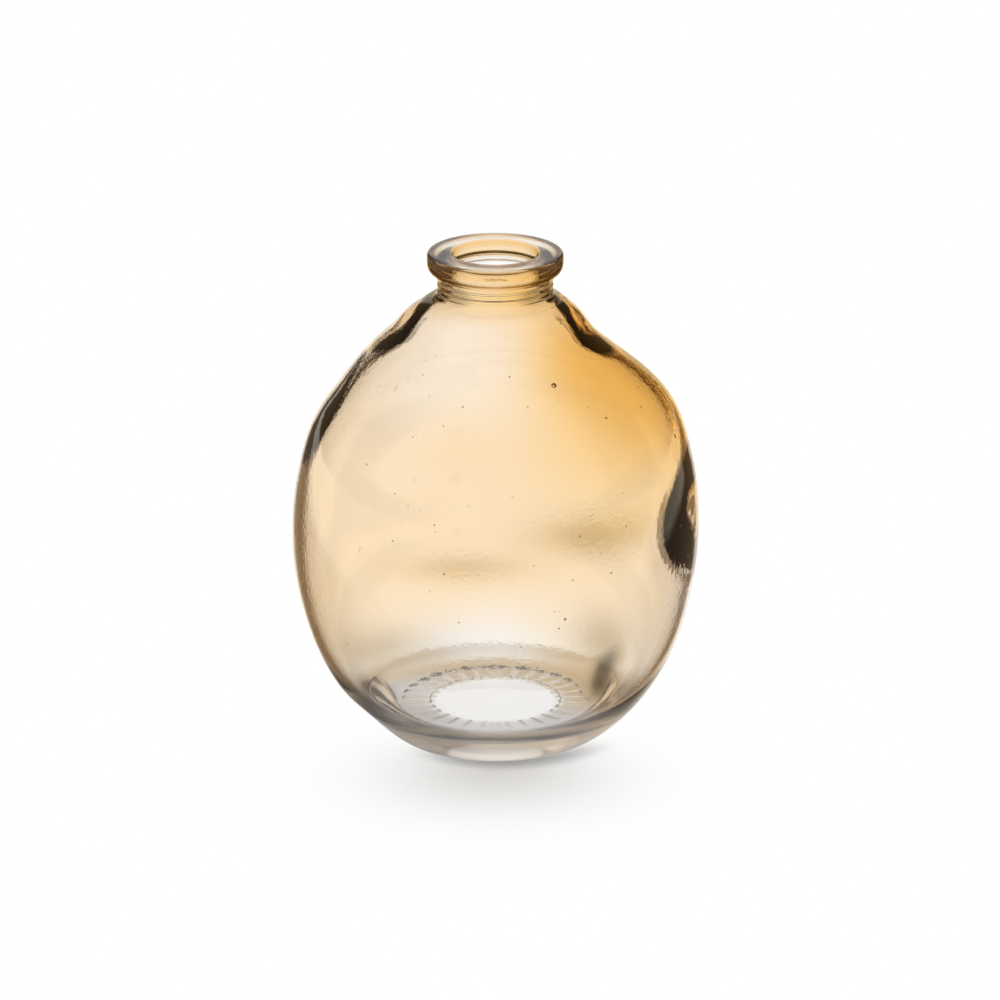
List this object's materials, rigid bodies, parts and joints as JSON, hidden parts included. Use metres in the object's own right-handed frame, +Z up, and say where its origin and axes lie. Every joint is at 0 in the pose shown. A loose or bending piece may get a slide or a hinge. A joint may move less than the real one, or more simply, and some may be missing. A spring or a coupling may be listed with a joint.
{
  "type": "flower vase",
  "caption": "Thick-walled blown-glass flower vase: softly lumpy bulb, short neck with a flanged lip, knurled foot ring, and a transparent amber lacquer that fades to clear towards the foot.",
  "frame": {"origin": "on the table, under the axis of the neck, at the middle of the foot ring", "axes": "+Z up along the axis of the neck; -Y towards the front, the side the picture shows; +X to the right as seen from the front"},
  "size_m": [0.1466, 0.1446, 0.1801],
  "materials": {
    "clear_glass": "fire-polished recycled glass with a few seed bubbles",
    "amber_lacquer": "transparent sprayed lacquer, strongest on the shoulder and fading to clear"
  },
  "bodies": {
    "root": {"glass_vessel": "clear_glass", "amber_lacquer": "amber_lacquer"}
  },
  "joints": []
}
